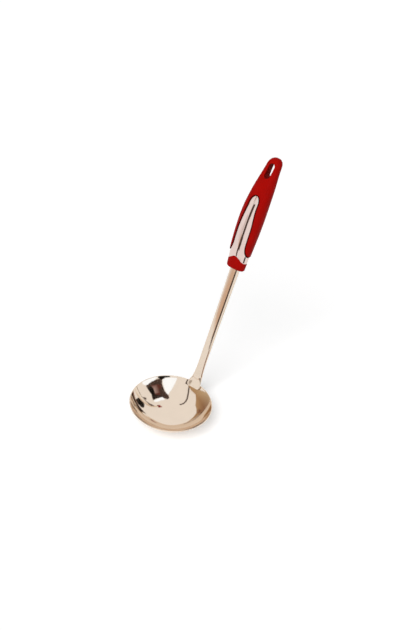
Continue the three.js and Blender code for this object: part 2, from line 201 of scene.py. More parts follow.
class ShankSizes(bpy.types.PropertyGroup):
    """Sizes of the flat steel shank"""

    lean: angle("Lean", "Angle between the shank and the bowl's axis", 20.2)
    length: length("Length", "From the rim's level to the collar", 140.2)
    top_width: length("Top Width", "Width under the collar", 11.2)
    neck_width: length("Neck Width", "Width at the narrowest place", 9.4)
    top_thickness: length("Top Thickness", "Thickness under the collar", 4)
    neck_thickness: length("Neck Thickness", "Thickness at the narrowest place", 3)
    neck_height: length("Neck Height", "Height of the narrowest place over the rim", 46)
    bend: length("Bend", "Length of the bend over the rim", 10)
    crown: length("Crown", "How far the front face bulges", 0.35)
    foot_width: length("Foot Width", "Width of the foot inside the bowl", 16.5)
    foot_lap: length("Foot Lap", "How far the foot reaches down the wall", 5)
    foot_thickness: length("Foot Thickness", "Thickness of the foot", 1.6)
    foot_corner: length("Foot Corner", "Radius of the foot's corners", 3)
    foot_edge: length("Foot Edge", "Rounding of the foot's lower edge", 0.45)
    tang_width: length("Tang Width", "Width of the tang inside the handle", 8)
    tang_thickness: length("Tang Thickness", "Thickness of the tang", 3)
    tang_length: length("Tang Length", "Length of the tang", 50)
    seat: length("Seat", "How far the bar goes into the core", 3)


class HandleSizes(bpy.types.PropertyGroup):
    """Sizes of the moulded handle"""

    length: length("Length", "From the collar's lower edge to the hanging end", 124.2)
    collar_end_width: length("Collar End Width", "Width at the collar", 22)
    width: length("Width", "Largest width", 26.8)
    hang_end_width: length("Hanging End Width", "Width at the hanging end", 17.4)
    collar_end_depth: length("Collar End Depth", "Depth at the collar", 15)
    depth: length("Depth", "Largest depth", 21.5)
    hang_end_depth: length("Hanging End Depth", "Depth at the hanging end", 12.4)
    end_rounding: length("End Rounding", "Height over which the outline rounds off", 9)
    edge_rounding: length("Edge Rounding", "Height over which the depth rounds off", 4)
    belly: length("Belly", "How far the middle bows to the front", 2)
    setback: length("Setback", "How far the hanging end leans back", 9.6)
    grip_wall: length("Grip Wall", "Thickness of the red grip", 2.4)
    grip_proud: length("Grip Proud", "How far the grip stands over the core", 0.8)
    grip_edge: length("Grip Edge", "Rounding of the grip's edges", 0.75)
    tongue_width: length("Tongue Width", "Width of the silver tongue", 15)
    tongue_taper: length("Tongue Taper", "Length of the tongue's tapering end", 38)
    tongue_tip_width: length("Tongue Tip Width", "Width where the tongue's tip rounds off", 10.4)
    tongue_tip_length: length("Tongue Tip Length", "Length of the tip's rounding", 9)
    ridge: length("Ridge", "Height of the ridge along the tongue", 0.5)
    ridge_round: length("Ridge Round", "Radius of the ridge's crest", 0.5)
    core_wall: length("Core Wall", "Thickness of the silver skin", 2.2)
    core_edge: length("Core Edge", "Rounding of the core's edges", 0.3)
    core_setback: length("Core Setback", "Distance from the core's end to the slot", 6)
    lobe_level: length("Lobe Level", "Height of the lobes' ends over the collar's edge", 16.6)
    lobe_width: length("Lobe Width", "Width of the lobes' rounding", 6.5)
    lobe_length: length("Lobe Length", "Length of the lobes' rounding", 13)
    bridge: length("Bridge", "Length between the tongue's tip and the slot", 18.8)
    collar_front: length("Collar Front", "Height of the collar at the front", 14.8)
    collar_side: length("Collar Side", "Height of the collar at the sides", 9.2)
    collar_floor: length("Collar Floor", "Thickness of the collar's floor", 2.2)
    collar_inset: length("Collar Inset", "How far the collar lies under the grip's line", 0.7)
    collar_edge: length("Collar Edge", "Rounding of the collar's lower edge", 2)
    collar_lip: length("Collar Lip", "Rounding of the collar's upper edge", 0.5)
    slot_length: length("Slot Length", "Length of the hanging slot", 16.2)
    slot_width: length("Slot Width", "Width of the hanging slot", 7)
    slot_margin: length("Slot Margin", "From the slot to the end", 6)
    gap: length("Gap", "Seam between neighbouring pieces", 0.3)


class FinishColours(bpy.types.PropertyGroup):
    """Colours of the ladle's finishes"""

    steel: colour("Steel", "Colour of the polished steel", (0.79, 0.665, 0.545))
    silver: colour("Silver", "Colour of the plated core", (0.79, 0.635, 0.585))
    red: colour("Red", "Colour of the grip and the collar", (0.375, 0.0035, 0.002))


class StageLook(bpy.types.PropertyGroup):
    """Camera, floor and light round the ladle"""

    azimuth: angle("Azimuth", "Camera's turn to the right of the handle's front", 31.30)
    elevation: angle("Elevation", "Camera's height over the rim's level", 37.47)
    roll: angle("Roll", "Camera's turn about its line of sight", 8.08)
    distance: length("Distance", "From the camera to its target", 1200)
    aim_right: length("Aim Right", "Target's offset to the right of the rim's centre", 41.95)
    aim_up: length("Aim Up", "Target's offset over the rim's centre", 94.08)
    lens: FloatProperty(
        name="Lens",
        description="Focal length on a 36 mm wide sensor",
        default=63.82,
        unit="CAMERA",
    )
    floor: colour("Floor", "Colour of the floor", (0.82, 0.82, 0.82))
    dome: FloatProperty(name="Dome", description="Strength of the light all round", default=0.27)


# Shades of the cards that the metal mirrors
PANE = (1.25, 1.45, 1.70)
CLEAR = (1.0, 1.0, 1.0)
FAWN = (0.82, 0.75, 0.73)
ASH = (0.56, 0.52, 0.48)
SLATE = (0.24, 0.20, 0.17)
SAND = (0.74, 0.54, 0.42)
TAN = (0.62, 0.50, 0.34)
OCHRE = (0.50, 0.33, 0.18)
BARK = (0.26, 0.13, 0.08)
ROSE = (0.50, 0.38, 0.37)
RUST = (0.13, 0.045, 0.035)
UMBER = (0.09, 0.06, 0.05)
BLACK = (0.012, 0.010, 0.008)

# Far cards by their corners' shades, and turn and rise in degrees, later ones nearer
FAR_CARDS = (
    ((UMBER, UMBER, BLACK), (
        (66, 33), (71, 45), (72.5, 62), (60, 74), (62, 80), (95, 82), (108, 72), (118, 65),
        (128, 59), (141, 51), (130, 48), (124, 46), (120, 38), (117, 26), (100, 28.5), (82, 30.5),
    )),
    ((OCHRE, OCHRE, OCHRE, OCHRE, OCHRE, BARK, BARK, TAN, TAN, OCHRE), (
        (-14, 37), (-30, 40), (-50, 35.5), (-80, 36), (-90, 30), (-106, 20), (-104, 4), (-82, 1),
        (-66, 9), (-40, 27),
    )),
    ((BARK,), ((-101, 19), (-90, 26), (-84, 22), (-82, 12), (-86, 4), (-96, 8))),
    ((OCHRE, OCHRE, OCHRE, BARK, BARK), (
        (-103, 23), (-112, 20.5), (-126, 18.5), (-126, 4), (-103, 4),
    )),
    ((BLACK,), (
        (44, 32.3), (58, 32.8), (65, 35.5), (70, 34), (77, 29.5), (76, 24), (60, 24), (45, 27),
    )),
    ((RUST, RUST, UMBER, RUST), ((86, 41), (88, 51), (76, 55), (75, 46))),
    ((RUST, ROSE, RUST, RUST), ((104, 34), (104.5, 44), (88, 51), (86, 41))),
    ((ROSE, ROSE, RUST, RUST), ((104.5, 44), (110, 49.5), (95, 59), (88, 51))),
    ((ROSE, RUST, RUST, RUST), ((110, 49.5), (116, 53.5), (104, 63), (95, 59))),
    ((PANE,), (
        (106, 69.5), (114, 66.5), (122, 63.5), (131, 59.5), (137, 56), (143, 52.5), (146, 55.5),
        (143, 62), (137, 66), (131, 70), (124, 75), (113, 76),
    )),
    ((BLACK,), ((108, 35), (106, 43), (110, 50), (117, 51), (122, 48.5), (120, 40), (117, 32))),
    ((PANE,), (
        (24, 33), (27, 45), (33, 56), (40, 63), (48, 67), (58, 72), (65, 71), (67.5, 66), (69, 58),
        (68, 45), (65.5, 36.5), (58, 33.5), (40, 33.5),
    )),
    ((PANE,), (
        (77, 27.5), (90, 30.5), (100, 29), (112, 28), (117, 25), (122, 18), (119, 14),
        (108, 17), (90, 22),
    )),
    ((BLACK,), (
        (154, 18), (157.5, 27), (163, 28), (168, 24), (171, 21), (171, 15.5), (167, 9), (163, 6.5),
        (158.5, 11), (155, 14.5),
    )),
    ((UMBER,), ((142.5, 35.5), (146.5, 36.3), (149, 33), (147, 29), (144.5, 28), (144, 32))),
)
FAR_DISTANCE = 3.6
FAR_STEP = 0.12

# Upright cards by shades, and in millimetres by place along Y, sides along X and levels
UPRIGHT_CARDS = (
    ((UMBER,), -1000, (-60, -345), (30, 190)),
    ((UMBER,), -1000, (-75, -225), (190, 440)),
    ((SAND,), -1000, (-345, -520), (30, 190)),
    ((SLATE, ASH, ASH, SLATE), -1000, (-225, -360), (190, 540)),
    ((BARK,), -300, (-15, 140), (0, 52)),
    ((CLEAR,), -300, (-15, -280), (0, 54)),
    ((CLEAR,), -300, (-130, -280), (54, 66)),
    ((CLEAR, CLEAR, FAWN, SAND), -300, (-130, -280), (66, 84)),
)

# Other cards by shades and corners in millimetres
OTHER_CARDS = (
    ((UMBER,), ((-60, -1000, 440), (-225, -1000, 440), (-245, -1000, 800), (-50, -1000, 800))),
    ((SAND, FAWN, FAWN, SAND), (
        (-520, -1000, 30), (-800, -940, 30), (-800, -940, 190), (-520, -1000, 190),
    )),
    ((FAWN, CLEAR, CLEAR, FAWN), (
        (-800, -940, 30), (-1100, -700, 30), (-1100, -700, 190), (-800, -940, 190),
    )),
    ((SLATE, ASH, FAWN, ASH), (
        (-225, -1000, 540), (-360, -1000, 540), (-360, -1000, 800), (-245, -1000, 800),
    )),
    ((ASH, FAWN, FAWN, ASH), (
        (-620, -1020, 190), (-900, -900, 190), (-900, -900, 425), (-620, -1020, 425),
    )),
    ((UMBER,), ((-185, -1230, 2), (-533, -1230, 2), (-235, -500, 2), (-80, -500, 2))),
    ((BLACK,), ((320, -100, 2), (440, -150, 2), (420, 60, 2), (310, 70, 2))),
    ((CLEAR,), ((-396, -84, 322), (-272, -238, 323), (-245, -204, 440), (-364, -68, 426))),
)

# A dark line across the surroundings, by turn, rise and width in degrees
LINE = (
    (-84, 70.5), (-70, 63.5), (-60, 59.5), (-50, 56), (-40, 52.5), (-32, 49), (-26, 45),
    (-20, 40.5), (-16.5, 35.5), (-17.5, 28),
)
LINE_WIDTH = 3.4

# Steps and curves


def full_turns(count):
    """Even turns all the way round."""
    return [2 * math.pi * k / count for k in range(count)]


def quarter_turns(count, first=1):
    """Even turns up to a right angle."""
    return [RIGHT_ANGLE * k / count for k in range(first, count + 1)]


def steps_between(low, high, count, power):
    """Heights after low up to high, closer together near low for a power over 1."""
    return [low + (high - low) * (k / count) ** power for k in range(1, count + 1)]


def steps_towards(low, high, count, power):
    """Heights after low up to high, closer together near high."""
    return [high - (high - low) * (1 - k / count) ** power for k in range(1, count + 1)]


def smoothstep(value, low, high):
    """Eases from 0 at low to 1 at high."""
    share = min(1.0, max(0.0, (value - low) / (high - low)))
    return share * share * (3 - 2 * share)


def between(first, second, share):
    """A value that is a share of the way from one to another."""
    return first + share * (second - first)


def super_power(value, power):
    """Keeps a value's sign and raises it for a superellipse."""
    if abs(value) < TINY:
        return 0.0
    return math.copysign(abs(value) ** (2 / power), value)


def superellipse(wide, deep, power, count):
    """Points round a superellipse, from the right side to the back."""
    points = []
    for turn in full_turns(count):
        x = wide * super_power(math.cos(turn), power)
        points.append((x, deep * super_power(math.sin(turn), power)))
    return points


def rounded(share, power):
    """Falls from 1 to 0 along a superellipse's quarter."""
    return max(0.0, 1 - share**power) ** (1 / power)


def smooth_curve(stations, sizes):
    """Returns a curve through sizes whose slopes follow each station's neighbours."""

    def at(share):
        if share <= stations[0]:
            return sizes[0]
        if share >= stations[-1]:
            return sizes[-1]
        index = next(k for k in range(1, len(stations)) if share < stations[k])
        before = index - 2 if index >= 2 else index
        after = index + 1 if index + 1 < len(stations) else index - 1
        start, end = stations[index - 1], stations[index]
        lead = (end - start) / 2 / (start - stations[before])
        trail = (end - start) / 2 / (stations[after] - end)
        p = (share - start) / (end - start)
        squared = p * p
        cubed = squared * p
        return (
            (-lead * cubed + 2 * lead * squared - lead * p) * sizes[before]
            + ((1 + lead) * cubed + (-1.5 - 2 * lead) * squared + (lead - 0.5) * p + 1)
            * sizes[index - 1]
            + ((-1 - trail) * cubed + (1.5 + trail) * squared + 0.5 * p) * sizes[index]
            + (trail * cubed - trail * squared) * sizes[after]
        )

    return at


# Mesh tools


def chain_edges(bm, chain, closed=True):
    """Returns the edges along a chain of vertices."""
    ends = chain[1:] + chain[:1] if closed else chain[1:]
    return [bm.edges.get(pair) for pair in zip(chain, ends)]


def extrude_chain(bm, chain, closed):
    """Extrudes a chain of vertices and returns the new chain in the same order."""
    made = bmesh.ops.extrude_edge_only(bm, edges=chain_edges(bm, chain, closed))["geom"]
    fresh = {item for item in made if isinstance(item, bmesh.types.BMVert)}
    result = []
    for vert in chain:
        beyond = (edge.other_vert(vert) for edge in vert.link_edges)
        result.append(next(other for other in beyond if other in fresh))
    return result


def place(chain, points):
    """Moves a chain's vertices to points."""
    for vert, point in zip(chain, points):
        vert.co = point


def start_ring(bm, points):
    """Starts a closed ring of vertices at points."""
    ring = bmesh.ops.create_circle(bm, segments=len(points), radius=1.0)["verts"]
    place(ring, points)
    return ring


def draw_to(bm, vert, point):
    """Draws an edge from a vertex to a point and returns its end."""
    end = bmesh.ops.extrude_vert_indiv(bm, verts=[vert])["verts"][0]
    end.co = point
    return end


def start_row(bm, points):
    """Starts an open row of vertices at points."""
    row = [bmesh.ops.create_vert(bm, co=points[0])["vert"][0]]
    for point in points[1:]:
        row.append(draw_to(bm, row[-1], point))
    return row


def skin_rings(bm, rings):
    """Skins closed rings of points one after the other and returns the first and last ring."""
    first = start_ring(bm, rings[0])
    ring = first
    for points in rings[1:]:
        ring = extrude_chain(bm, ring, True)
        place(ring, points)
    return first, ring


def skin_rows(bm, row, rows):
    """Extrudes an open row through further rows of points and returns the last row."""
    for points in rows:
        row = extrude_chain(bm, row, False)
        place(row, points)
    return row


def cap_ring(bm, ring):
    """Closes a ring with one face."""
    bmesh.ops.contextual_create(bm, geom=chain_edges(bm, ring))


def weld(bm):
    """Merges vertices that lie on each other."""
    bmesh.ops.remove_doubles(bm, verts=bm.verts[:], dist=WELD)


def mirror_skin(bm, form):
    """Mirrors a skin's right half to the left and makes its faces point outwards."""
    bmesh.ops.mirror(bm, geom=bm.verts[:] + bm.edges[:] + bm.faces[:], axis="X", merge_dist=WELD)
    weld(bm)
    bmesh.ops.recalc_face_normals(bm, faces=bm.faces[:])
    outward = 0.0
    for face in bm.faces:
        middle = face.calc_center_median()
        away = middle - Vector((0.0, form.middle(middle.z), middle.z))
        outward += face.normal.dot(away) * face.calc_area()
    if outward < 0:
        bmesh.ops.reverse_faces(bm, faces=bm.faces[:])
    bm.normal_update()


def open_loops(bm):
    """Returns the open borders of a skin as ordered loops of vertices."""
    waiting = {edge for edge in bm.edges if edge.is_boundary}
    loops = []
    while waiting:
        edge = waiting.pop()
        loop = list(edge.verts)
        while True:
            tail = loop[-1]
            following = next((e for e in tail.link_edges if e in waiting), None)
            if following is None:
                break
            waiting.discard(following)
            vert = following.other_vert(tail)
            if vert is loop[0]:
                break
            loop.append(vert)
        loops.append(loop)
    return loops


def border_frames(loop):
    """Returns each border vertex's place, normal and direction away from the skin."""
    frames = []
    count = len(loop)
    for index, vert in enumerate(loop):
        along = loop[(index + 1) % count].co - loop[index - 1].co
        normal = vert.normal.normalized()
        away = along.cross(normal).normalized()
        inside = Vector()
        for face in vert.link_faces:
            inside += face.calc_center_median() - vert.co
        if away.dot(inside) > 0:
            away.negate()
        frames.append((vert.co.copy(), normal, away))
    return frames


def roll_border(bm, loop, frames, radius):
    """Rolls a border over an edge of the given radius and returns its last loop."""
    for turn in quarter_turns(ROUND_STEPS):
        loop = extrude_chain(bm, loop, True)
        out = radius * math.sin(turn)
        down = radius * (1 - math.cos(turn))
        place(loop, [co + away * out - normal * down for co, normal, away in frames])
    return loop


def thicken(bm, faces, depth):
    """Copies faces inwards by a depth, turned over, and maps old vertices to new ones."""
    bm.normal_update()
    normals = {vert: vert.normal.copy() for face in faces for vert in face.verts}
    made = bmesh.ops.duplicate(bm, geom=faces)
    twins = {old: new for old, new in made["vert_map"].items() if old in normals}
    for old, new in twins.items():
        new.co = old.co - normals[old] * depth
    copies = [item for item in made["geom"] if isinstance(item, bmesh.types.BMFace)]
    bmesh.ops.reverse_faces(bm, faces=copies)
    return twins


def close_border(bm, loop, frames, twins, radius, depth):
    """Rolls a border over its edge and joins it to the copied inner skin."""
    rolled = roll_border(bm, loop, frames, radius)
    foot = [co + away * radius - normal * depth for co, normal, away in frames]
    last = extrude_chain(bm, rolled, True)
    place(last, foot)
    for vert, point in zip(loop, foot):
        twins[vert].co = point


def spin_arc(bm, vert, centre, turn, steps):
    """Carries a vertex round a centre in the plane of X and Z and returns the arc's end."""
    made = bmesh.ops.spin(
        bm,
        geom=[vert],
        cent=(centre[0], 0.0, centre[1]),
        axis=(0.0, -1.0, 0.0),
        angle=turn,
        steps=steps,
        use_duplicate=False,
    )
    return next(item for item in made["geom_last"] if isinstance(item, bmesh.types.BMVert))


def mark_edges(bm):
    """Notes on each vertex how sharply the skin turns outwards there, for the wear along edges."""
    edge_layer = bm.verts.layers.float.new("edge")
    for vert in bm.verts:
        turns = [edge.calc_face_angle_signed(0.0) for edge in vert.link_edges]
        vert[edge_layer] = smoothstep(max(turns, default=0.0), EDGE_SOFT, EDGE_SHARP)


def mesh_object(bm, name, material):
    """Makes a mesh an object of the scene with one finish."""
    mesh = bpy.data.meshes.new(name)
    bm.to_mesh(mesh)
    bm.free()
    mesh.materials.append(material)
    made = bpy.data.objects.new(name, mesh)
    bpy.context.scene.collection.objects.link(made)
    return made


def add_piece(bm, stem, name, material, node):
    """Moves a closed mesh to its place and makes it the piece that stands for a solid."""
    bmesh.ops.recalc_face_normals(bm, faces=bm.faces[:])
    bmesh.ops.transform(bm, matrix=stem, verts=bm.verts[:])
    mark_edges(bm)
    piece = mesh_object(bm, name, material)
    piece.data.polygons.foreach_set("use_smooth", [True] * len(piece.data.polygons))
    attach(piece, "root")
    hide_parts(node)


# Forms


class Dish:
    """The bowl's two spheres"""

    def __init__(self, bowl):
        rim = bowl.diameter / 2
        flat = bowl.flat / 2
        self.depth = bowl.depth
        self.wall = bowl.wall
        self.centre = (rim**2 + bowl.depth**2 - flat**2) / (2 * bowl.depth)
        self.radius = math.hypot(flat, self.centre)
        self.inside = self.radius - bowl.wall


class Bar:
    """The shank's middle line and sections, in the stem's frame"""

    def __init__(self, scene):
        shank = scene.ladle_shank
        dish = Dish(scene.ladle_bowl)
        self.sizes = shank
        self.foot_radius = dish.inside - scene.ladle_handle.gap - shank.foot_thickness / 2
        self.foot_angle = math.acos((dish.centre - dish.depth) / self.foot_radius)
        self.foot_tilt = RIGHT_ANGLE - self.foot_angle - shank.lean
        self.offset = math.tan(self.foot_tilt) * shank.bend / 2
        foot_y = self.foot_radius * math.sin(self.foot_angle)
        place_y = foot_y + self.offset * math.cos(shank.lean)
        place_z = dish.depth - self.offset * math.sin(shank.lean)
        turn = Matrix.Rotation(-shank.lean, 4, "X")
        self.stem = Matrix.Translation((0.0, place_y, place_z)) @ turn

    def line(self, along):
        """Place and tilt of the middle line at a distance from the rim's level."""
        sizes = self.sizes
        if along < 0:
            turn = self.foot_angle + along / self.foot_radius
            dy = self.foot_radius * (math.sin(turn) - math.sin(self.foot_angle))
            dz = self.foot_radius * (math.cos(self.foot_angle) - math.cos(turn))
            y = -self.offset + dy * math.cos(sizes.lean) - dz * math.sin(sizes.lean)
            z = dy * math.sin(sizes.lean) + dz * math.cos(sizes.lean)
            return y, z, RIGHT_ANGLE - turn - sizes.lean
        if along < sizes.bend:
            share = along / sizes.bend
            y = -self.offset * (1 - share) ** 2
            z = 2 * (1 - share) * share * sizes.bend / 2 + share**2 * sizes.bend
            return y, z, self.foot_tilt * (1 - share)
        return 0.0, along, 0.0

    def half_width(self, along):
        """Half the bar's width."""
        sizes = self.sizes
        neck = sizes.neck_width / 2
        foot = sizes.foot_width / 2
        if along <= 0:
            left = sizes.foot_lap + along
            if left >= sizes.foot_corner:
                return foot
            share = 1 - left / sizes.foot_corner
            return foot - sizes.foot_corner * (1 - math.sqrt(max(0.0, 1 - share**2)))
        if along < sizes.neck_height:
            return neck + (foot - neck) * (1 - along / sizes.neck_height) ** FLARE_POWER
        return neck + (sizes.top_width / 2 - neck) * self.over_neck(along) ** TAPER_POWER

    def over_neck(self, along):
        """A distance as a share of the way from the neck to the collar."""
        neck = self.sizes.neck_height
        return min(1.0, (along - neck) / (self.sizes.length - neck))

    def thickness(self, along):
        """The bar's thickness."""
        sizes = self.sizes
        if along < sizes.neck_height:
            share = smoothstep(along, 0.0, sizes.neck_height)
            return between(sizes.foot_thickness, sizes.neck_thickness, share)
        return between(sizes.neck_thickness, sizes.top_thickness, self.over_neck(along))

    def ring(self, along, grow, count):
        """Points round the bar, grown outwards, starting at +X and going to the back."""
        y, z, tilt = self.line(along)
        wide = self.half_width(along) + grow
        deep = self.thickness(along) / 2 + grow
        cupped = 1 - smoothstep(along, 0.0, self.sizes.bend)
        points = []
        for x, side in superellipse(wide, deep, BAR_POWER, count):
            cup = self.foot_radius - math.sqrt(self.foot_radius**2 - x**2)
            crown = self.sizes.crown * (x / wide) ** 2 if side < 0 else 0.0
            out = side - cupped * cup + (1 - cupped) * crown
            points.append(Vector((x, y + out * math.cos(tilt), z - out * math.sin(tilt))))
        return points


class HandleForm:
    """The handle's outer form and the outlines drawn on it, in the stem's frame"""

    POWER = 2.3

    def __init__(self, scene):
        handle = scene.ladle_handle
        self.sizes = handle
        self.bottom = scene.ladle_shank.length
        self.top = self.bottom + handle.length
        low, mid, high = handle.collar_end_width / 2, handle.width / 2, handle.hang_end_width / 2
        rise, fall = between(low, mid, WIDTH_RISE), between(high, mid, WIDTH_FALL)
        widths = (low, rise, mid, mid, fall, high, high - WIDTH_END)
        self.width = smooth_curve(WIDTH_STATIONS, widths)
        low, mid, high = handle.collar_end_depth / 2, handle.depth / 2, handle.hang_end_depth / 2
        rise = between(low, mid, DEPTH_RISE)
        falls = [between(high, mid, share) for share in DEPTH_FALLS]
        depths = (low, rise, mid, *falls, high, high - DEPTH_END)
        self.depth = smooth_curve(DEPTH_STATIONS, depths)
        front = [-share * handle.belly for share in BOW_FRONT]
        bows = (0, *front, BOW_BACK * handle.setback, handle.setback)
        self.bow = smooth_curve(BOW_STATIONS, bows)
        self.slot_top = self.top - handle.slot_margin
        self.slot_bottom = self.slot_top - handle.slot_length
        self.tongue_tip = self.slot_bottom - handle.bridge
        self.lobe_tip = self.bottom + handle.lobe_level
        self.core_top = self.slot_bottom - handle.core_setback
        taper_start = self.tongue_tip - handle.tongue_taper
        self.shoulder = max(self.lobe_tip + handle.lobe_length, taper_start)

    def share(self, height):
        """A height as a share of the handle's length."""
        return (height - self.bottom) / self.sizes.length

    def middle(self, height):
        """The middle line's distance to the back."""
        return self.bow(self.share(height))

    def half_width(self, height, inset):
        """Half the section's width."""
        start = self.top - self.sizes.end_rounding
        fall = rounded(max(0.0, (height - start) / self.sizes.end_rounding), self.POWER)
        return max(END_HALF_WIDTH, (self.width(self.share(height)) - inset) * fall)

    def half_depth(self, height, inset):
        """Half the section's depth."""
        start = self.top - self.sizes.edge_rounding
        fall = rounded(max(0.0, (height - start) / self.sizes.edge_rounding), EDGE_POWER)
        return max(END_HALF_DEPTH, (self.depth(self.share(height)) - inset) * fall)

    def point(self, turn, height, inset=0.0, ridge=0.0):
        """A point on the section: 0 is the right side, a right angle on is the back."""
        x = self.half_width(height, inset) * super_power(math.cos(turn), self.POWER)
        sine = math.sin(turn)
        y = self.middle(height) + self.half_depth(height, inset) * super_power(sine, self.POWER)
        soft = self.sizes.ridge_round
        apart = (math.hypot(x, soft) - soft) / (self.sizes.tongue_width / 2)
        crest = ridge * max(0.0, 1 - apart) ** 2
        return Vector((x, y + math.copysign(crest, sine), height))

    def window(self, height, gap):
        """Half the width of the silver area at a height, drawn in by a gap."""
        sizes = self.sizes
        half = sizes.tongue_width / 2 - gap
        tip = self.tongue_tip - gap
        lobe_end = self.lobe_tip - gap
        lobe_start = lobe_end + sizes.lobe_length
        if height <= lobe_end:
            return sizes.width
        if height < lobe_start:
            share = (lobe_start - height) / sizes.lobe_length
            return half + sizes.lobe_width * (1 - math.sqrt(1 - share**2))
        if height <= self.shoulder:
            return half
        below = tip - height
        if below <= 0:
            return 0.0
        narrow = sizes.tongue_tip_width / 2 - gap
        tip_length = self.tip_length(gap)
        if below < tip_length:
            return narrow * math.sqrt(1 - (1 - below / tip_length) ** 2)
        return narrow + (half - narrow) * smoothstep(below, tip_length, tip - self.shoulder)

    def tip_length(self, gap):
        """Length of the tongue tip's rounding."""
        return min(self.sizes.tongue_tip_length, (self.tongue_tip - gap - self.shoulder) / 2)

    def tongue_levels(self, gap, inset):
        """Levels of rows from the notch to the tongue's tip, closer where the outline turns."""
        low = self.notch(gap, inset)
        lobe_start = self.lobe_tip - gap + self.sizes.lobe_length
        tip = self.tongue_tip - gap
        tip_length = self.tip_length(gap)
        levels = [low]
        levels += steps_between(low, lobe_start, *LOBE_ROWS)
        levels += steps_between(lobe_start, self.shoulder, *TONGUE_ROWS)
        levels += steps_between(self.shoulder, tip - tip_length, *TAPER_ROWS)
        levels += [tip - tip_length * (1 - math.sin(turn)) for turn in quarter_turns(TIP_ROWS)]
        return levels

    def slot(self, height, gap):
        """Half the slot's width at a height, drawn in by a gap."""
        radius = self.sizes.slot_width / 2
        lower = self.slot_bottom + radius
        upper = self.slot_top - radius
        past = max(lower - height, height - upper, 0.0)
        return math.sqrt(max(0.0, (radius - gap) ** 2 - past**2))

    def turn_at(self, half, height, inset):
        """The turn at which the section is that far from its middle plane."""
        share = min(1.0, half / self.half_width(height, inset))
        return math.acos(share ** (self.POWER / 2))

    def notch(self, gap, inset):
        """The height at which the silver area's outline reaches the handle's side."""
        low = self.lobe_tip - gap
        high = low + self.sizes.lobe_length
        for _ in range(HALVINGS):
            height = (low + high) / 2
            if self.window(height, gap) > self.half_width(height, inset):
                low = height
            else:
                high = height
        return high

    def collar_top(self, x, gap):
        """The height of the collar's wavy edge."""
        sizes = self.sizes
        share = min(1.0, abs(x) / (sizes.collar_end_width / 2))
        hump = (sizes.collar_front - sizes.collar_side) * math.cos(RIGHT_ANGLE * share) ** 2
        return self.bottom + sizes.collar_side + gap + hump


# Finishes


def set_inputs(tree, node, inputs):
    """Sets a node's inputs to values, or links them to other nodes' outputs."""
    for name, value in dict(inputs).items():
        if isinstance(value, bpy.types.NodeSocket):
            tree.links.new(value, node.inputs[name])
        else:
            node.inputs[name].default_value = value


def add_node(tree, kind, inputs=(), **settings):
    """Adds a node with its settings and inputs."""
    node = tree.nodes.new(kind)
    for name, value in settings.items():
        setattr(node, name, value)
    set_inputs(tree, node, inputs)
    return node


def new_finish(name):
    """A node material, its tree and its shader."""
    material = bpy.data.materials.new(name)
    material.use_nodes = True
    return material, material.node_tree, material.node_tree.nodes["Principled BSDF"]


def show_only(tree, old_shader, surface):
    """Shows a surface in place of a material's own shader."""
    tree.nodes.remove(old_shader)
    tree.links.new(surface, tree.nodes["Material Output"].inputs["Surface"])


def object_coordinates(tree, scale=(1.0, 1.0, 1.0), turn=(0.0, 0.0, 0.0)):
    """Object coordinates, turned and scaled for a pattern."""
    source = add_node(tree, "ShaderNodeTexCoord").outputs["Object"]
    inputs = {"Vector": source, "Rotation": turn, "Scale": scale}
    return add_node(tree, "ShaderNodeMapping", inputs).outputs["Vector"]


def noise(tree, vector, scale, detail):
    """A noise pattern's factor."""
    inputs = {"Vector": vector, "Scale": scale, "Detail": detail}
    return add_node(tree, "ShaderNodeTexNoise", inputs).outputs["Fac"]


def spread(tree, factor, low=0.0, high=1.0):
    """A noise spread over a range of values."""
    inputs = {
        "Value": factor,
        "From Min": NOISE_LOW,
        "From Max": NOISE_HIGH,
        "To Min": low,
        "To Max": high,
    }
    return add_node(tree, "ShaderNodeMapRange", inputs).outputs["Result"]


def mixed(tree, factor, first, second, kind="RGBA"):
    """A colour or a value between two others."""
    inputs = {"Factor": factor, "A": first, "B": second}
    return add_node(tree, "ShaderNodeMix", inputs, data_type=kind).outputs["Result"]


def reckoned(tree, operation, *values):
    """The result of a sum, a product or another operation on values."""
    return add_node(tree, "ShaderNodeMath", enumerate(values), operation=operation).outputs["Value"]


def bump(tree, height, strength, distance):
    """A bumped normal from a height pattern."""
    inputs = {"Height": height, "Strength": strength, "Distance": distance}
    return add_node(tree, "ShaderNodeBump", inputs).outputs["Normal"]


def marked(tree, name, output="Fac"):
    """The value that a mesh carries under a name."""
    return add_node(tree, "ShaderNodeAttribute", attribute_name=name).outputs[output]


def scaled(rgb, factor):
    """A colour made lighter or darker, with full cover."""
    return (*(min(1.0, channel * factor) for channel in rgb), 1.0)


def worn_edges(tree):
    """Patchy wear along the edges."""
    patches = noise(tree, object_coordinates(tree), *WEAR_PATCHES)
    return reckoned(tree, "MULTIPLY", marked(tree, "edge"), spread(tree, patches))


def marks_along(tree, scale, lean):
    """Fine polishing marks along a leaning bar."""
    return noise(tree, object_coordinates(tree, scale, (lean, 0.0, 0.0)), *LONG_MARKS)


def marks_round(tree):
    """Fine rings round the bowl's axis, as spinning under a polishing wheel leaves them."""
    across = {0: object_coordinates(tree, (1.0, 1.0, 0.0))}
    radius = add_node(tree, "ShaderNodeVectorMath", across, operation="LENGTH").outputs["Value"]
    scale, detail = RING_MARKS
    inputs = {"W": radius, "Scale": scale, "Detail": detail}
    return add_node(tree, "ShaderNodeTexNoise", inputs, noise_dimensions="1D").outputs["Fac"]


